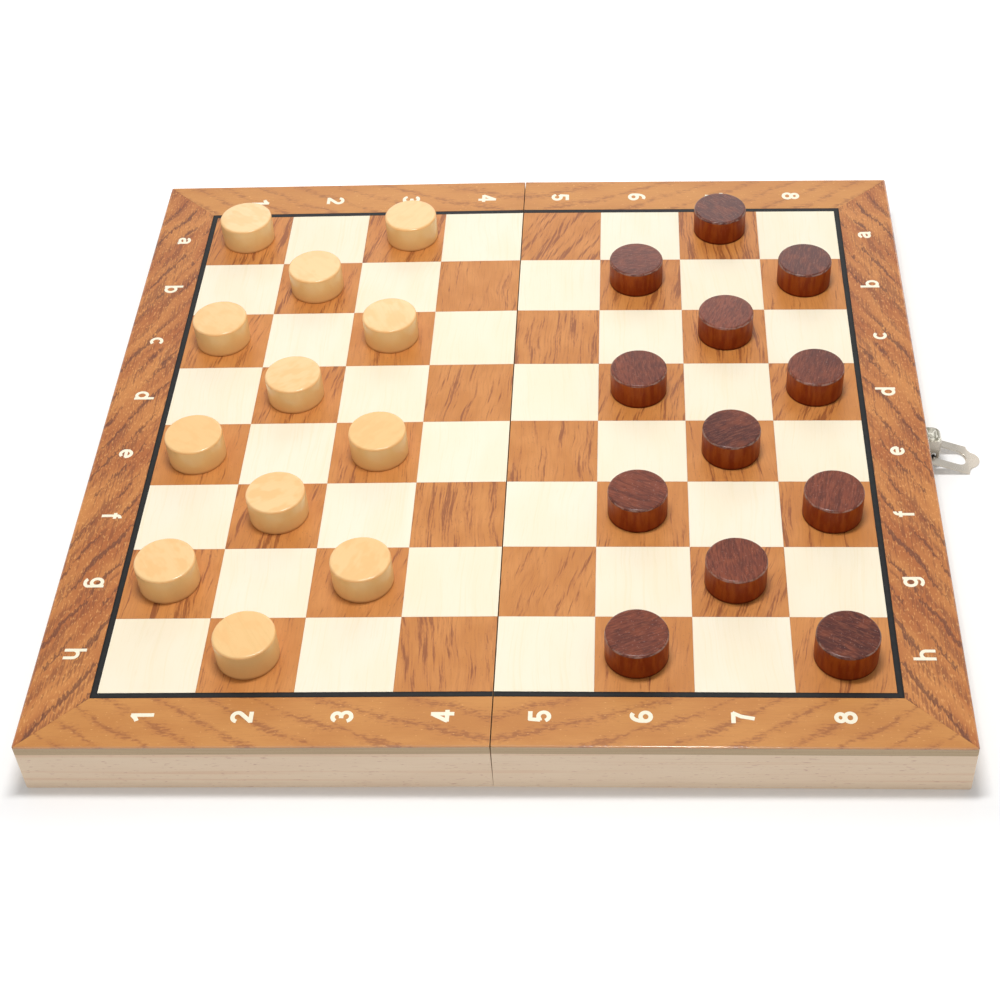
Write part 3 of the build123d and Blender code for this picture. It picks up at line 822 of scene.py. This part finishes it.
class Pattern(Graph):
    """Geometry nodes that make one kind of turned part, with named inputs for its sizes."""

    kinds = {float: "NodeSocketFloat", int: "NodeSocketInt", tuple: "NodeSocketVector"}

    def __init__(self, name, **sizes):
        super().__init__(bpy.data.node_groups.new(name, "GeometryNodeTree"))
        self.sockets = {}
        for title, value in sizes.items():
            socket = self.tree.interface.new_socket(
                title, in_out="INPUT", socket_type=self.kinds[type(value)])
            socket.default_value = value
            self.sockets[title] = socket.identifier
        self.tree.interface.new_socket("shape", in_out="OUTPUT", socket_type="NodeSocketGeometry")
        self.entry = self.add("NodeGroupInput")
        self.size = {title: self.entry.other(title) for title in self.sockets}

    def turned(self, corners, sides):
        """A solid turned about Z. Each corner is its radius, its height and its rounding."""
        index = self.add("GeometryNodeInputIndex")

        def each(kind, values):
            switch = self.add("GeometryNodeIndexSwitch", {"data_type": kind}, {0: index})
            node = switch.socket.node
            for _ in values[2:]:
                node.index_switch_items.new()
            for number, value in enumerate(values, 1):
                self.feed(node.inputs[number], value)
            return switch

        places = [self.add("ShaderNodeCombineXYZ", inputs={0: radius, 1: 0 - height})
                  for radius, height, _ in corners]
        points = self.add("GeometryNodePoints", inputs={
            "Count": len(corners), "Position": each("VECTOR", places)})
        line = self.add("GeometryNodePointsToCurves", inputs={0: points, "Weight": index})
        line = self.add("GeometryNodeFilletCurve", {"mode": "POLY"}, {
            "Curve": line, "Count": fillet_points,
            "Radius": each("FLOAT", [corner[2] for corner in corners])})
        axis = self.add("GeometryNodeCurvePrimitiveCircle", {"mode": "RADIUS"}, {
            "Resolution": sides, "Radius": axis_radius})
        skin = self.add("GeometryNodeCurveToMesh", inputs={"Curve": axis, "Profile Curve": line})
        return self.add("GeometryNodeMergeByDistance", inputs={0: skin, "Distance": turned_merge})

    def end(self, shape, finish):
        """Stands the shape on its seat, leaning with its half, and gives it its finish."""
        tilt = self.add("ShaderNodeCombineXYZ", inputs={1: self.entry.other("lean")})
        shape = self.add("GeometryNodeTransform", inputs={
            "Geometry": shape, "Translation": self.entry.other("seat"), "Rotation": tilt})
        shape = self.add("GeometryNodeRealizeInstances", inputs={0: shape})
        shape = self.add("GeometryNodeSetMaterial", inputs={0: shape, "Material": finish.material})
        self.add("NodeGroupOutput", inputs={0: shape})

    def make(self, name, **sizes):
        """A plain piece with these sizes."""
        piece = bpy.data.objects.new(name, bpy.data.meshes.new(name))
        scene.collection.objects.link(piece)
        modifier = piece.modifiers.new("pattern", "NODES")
        modifier.node_group = self.tree
        for title, value in sizes.items():
            modifier[self.sockets[title]] = value
        plain(piece)
        piece.data.shade_smooth()
        piece.data.set_sharp_from_angle(angle=smooth_angle)
        return plain(piece)


def varnished(name, **fixed):
    """Bare finish, the place on the bit of wood, and masks by the height in millimetres, two for
    painted shade.
    """
    wood = Finish(name, **fixed)
    blank = wood.add("ShaderNodeAttribute", {"attribute_name": "blank"}, output="Vector")
    high = wood.add("ShaderNodeAttribute", {"attribute_name": "high"}, output="Fac")
    above = wood.rise(high, *shoulder_span)
    rim = above * (1 - wood.rise(high, *rim_span))
    # Painted shade at the foot, standing in for the contact shadow.
    foot = 1 - wood.rise(high, *foot_shade_span)
    # Painted shade: the side darker towards the bottom.
    painted_side_shade = (1 - above) * (1 - high / (man_height / millimetre))
    return wood, *wood.split(blank), above, rim, foot, painted_side_shade


def birch():
    wood, x, y, z, above, rim, foot, painted_side_shade = varnished("light_man_wood", roughness=0.2)
    sway = wood.noise(x / 9, y / 20, z / 9, 2) * 3
    rings = wood.noise((x + sway) / 1.3, y / 40, (z + sway) / 6, 2, 0.55)
    fibres = wood.noise(x * 2.2, y / 2.6, z * 2.2, 2)
    patches = wood.noise(x / 4, y / 7, z / 4, 2)
    tone = wood.noise(x / 90, y / 90, z / 90, 0)
    colour = wood.mix(wood.rise(tone, 0.35, 0.65), tint(249, 209, 150), tint(246, 201, 136))
    colour = wood.mix(wood.rise(rings, 0.5, 0.7) * 0.16, colour, tint(228, 180, 112))
    colour = wood.mix(wood.rise(patches, 0.44, 0.62) * 0.7, colour, tint(246, 194, 128))
    colour = wood.mix(wood.rise(fibres, 0.55, 0.8) * 0.1, colour, tint(222, 172, 108))
    colour = wood.mix((1 - above) * 0.6, colour, tint(246, 214, 150))
    # Painted shade down the side.
    colour = wood.mix(painted_side_shade * 0.4, colour, tint(220, 160, 92))
    colour = wood.mix(rim * 0.45, colour, tint(240, 172, 94))
    # Painted shade at the foot.
    colour = wood.mix(foot * 0.5, colour, tint(160, 88, 30))
    wood.paint("Base Color", colour)
    wood.relief(1 - fibres * 0.6 - rings * 0.4, 0.01)
    return wood


def stained_birch():
    wood, x, y, z, above, rim, foot, painted_side_shade = varnished(
        "dark_man_wood", roughness=0.4, specular_ior_level=0.08, coat_roughness=0.22)
    sway = wood.noise(x / 9, y / 20, z / 9, 2) * 3
    rings = wood.noise((x + sway) / 2.4, y / 30, (z + sway) / 6, 2, 0.55)
    flecks = wood.rise(wood.noise(x * 2.3, y / 3.0, z / 3.0, 2), 0.48, 0.66)
    dark = wood.rise(wood.noise(x * 1.8, y / 3.0, z / 3.0 + 9.0, 2), 0.46, 0.64)
    pale_specks = wood.rise(wood.noise(x * 1.8, y * 1.8, z * 1.8, 1), 0.66, 0.74)
    patches = wood.noise(x / 4, y / 6, z / 4, 2)
    tone = wood.noise(x / 90, y / 90, z / 90, 0)
    pale_marks = wood.rise(wood.noise(x / 2.4, y / 2.4, z, 2), 0.4, 0.6)
    streaked = wood.rise(wood.noise(x / 1.8, y / 1.8, z / 9, 2), 0.35, 0.68)
    colour = wood.mix(wood.rise(tone, 0.38, 0.62), tint(126, 62, 42), tint(78, 30, 22))
    colour = wood.mix(wood.rise(rings, 0.42, 0.66) * 0.5, colour, tint(78, 32, 20))
    colour = wood.mix(wood.rise(patches, 0.45, 0.7) * 0.5, colour, tint(138, 68, 40))
    colour = wood.mix(flecks * 0.45, colour, tint(146, 82, 58))
    colour = wood.mix(dark * 0.5, colour, tint(62, 24, 18))
    # Fine pale specks on the top.
    colour = wood.mix(pale_specks * 0.25, colour, tint(190, 146, 130))
    side = wood.mix(streaked, tint(148, 56, 8), tint(182, 88, 24))
    colour = wood.mix((1 - above) * 0.72, colour, side)
    # Painted shade down the side.
    colour = wood.mix(painted_side_shade * 0.45, colour, tint(112, 40, 6))
    # Painted highlight: broken pale marks along the rim.
    colour = wood.mix(rim * pale_marks * 0.25, colour, tint(214, 180, 160))
    # Painted shade at the foot.
    colour = wood.mix(foot * 0.6, colour, tint(52, 18, 4))
    wood.paint("Base Color", colour)
    wood.paint("Coat Weight", above * 0.43 + rim * pale_marks * 0.4 + 0.05)
    wood.relief(flecks, 0.015)
    return wood


light_wood, dark_wood = birch(), stained_birch()

man_sizes = {
    "radius": 10.0 * millimetre, "height": man_height, "shoulder": 0.8 * millimetre,
    "foot": 0.35 * millimetre, "hole_radius": 3.05 * millimetre, "hole_depth": 2.3 * millimetre,
}
magnet_sizes = {
    "radius": 3.0 * millimetre, "height": 2.0 * millimetre, "edge": 0.2 * millimetre,
    "inset": 0.25 * millimetre,
}
standing = {"seat": (0.0, 0.0, 0.0), "lean": 0.0}
man_sides = 96
magnet_sides = 48
grain_seed = 7
blank_reach = 400.0


def man_pattern(name, finish):
    pattern = Pattern(name, **man_sizes, **standing, cut=0)
    size = pattern.size
    body = pattern.turned([
        (0.0, size["hole_depth"], 0.0), (size["hole_radius"], size["hole_depth"], 0.0),
        (size["hole_radius"], 0.0, 0.0), (size["radius"], 0.0, size["foot"]),
        (size["radius"], size["height"], size["shoulder"]), (0.0, size["height"], 0.0)], man_sides)
    turn = pattern.add("FunctionNodeRandomValue", {"data_type": "FLOAT"}, {
        2: 0.0, 3: pi, "ID": size["cut"], "Seed": grain_seed}, output=1)
    draw = pattern.add("FunctionNodeRandomValue", {"data_type": "FLOAT_VECTOR"}, {
        0: (-blank_reach,) * 3, 1: (blank_reach,) * 3, "ID": size["cut"], "Seed": grain_seed})
    spot = pattern.add("ShaderNodeVectorMath", {"operation": "SCALE"}, {
        0: pattern.add("GeometryNodeInputPosition"), "Scale": 1 / millimetre})
    spot = pattern.add("ShaderNodeVectorRotate", {"rotation_type": "Z_AXIS"}, {
        "Vector": spot, "Angle": turn})
    spot = pattern.add("ShaderNodeVectorMath", {"operation": "ADD"}, {0: spot, 1: draw})
    body = pattern.add("GeometryNodeStoreNamedAttribute", {"data_type": "FLOAT_VECTOR"}, {
        "Geometry": body, "Name": "blank", "Value": spot})
    high = pattern.split(pattern.add("GeometryNodeInputPosition"))[2] / millimetre
    body = pattern.add("GeometryNodeStoreNamedAttribute", {"data_type": "FLOAT"}, {
        "Geometry": body, "Name": "high", "Value": high})
    pattern.end(body, finish)
    return pattern


def magnet_pattern():
    pattern = Pattern("magnet", **magnet_sizes, **standing)
    size = pattern.size
    top = size["inset"] + size["height"]
    pattern.end(pattern.turned([
        (0.0, size["inset"], 0.0), (size["radius"], size["inset"], size["edge"]),
        (size["radius"], top, size["edge"]), (0.0, top, 0.0)], magnet_sides), plated)
    return pattern


light_man = man_pattern("light_man", light_wood)
dark_man = man_pattern("dark_man", dark_wood)
magnet = magnet_pattern()
men = sorted(node for node in frame["nodes"] if "_man_" in node)
for cut, node in enumerate(men):
    low, high = (Vector(corner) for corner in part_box(node))
    middle = (low + high) / 2
    lean = half_lean if middle.x > 0 else -half_lean
    seat = middle - Matrix.Rotation(lean, 3, "Y") @ Vector((0, 0, man_height / 2))
    body = frame["nodes"][node]["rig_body"]
    tone = node.split("_")[0]
    piece = (light_man if tone == "light" else dark_man).make(
        f"{node}_turned", seat=seat, lean=lean, cut=cut)
    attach(piece, body)
    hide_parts(node)
    disc = magnet.make(f"{node}_magnet", seat=seat, lean=lean)
    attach(disc, body)
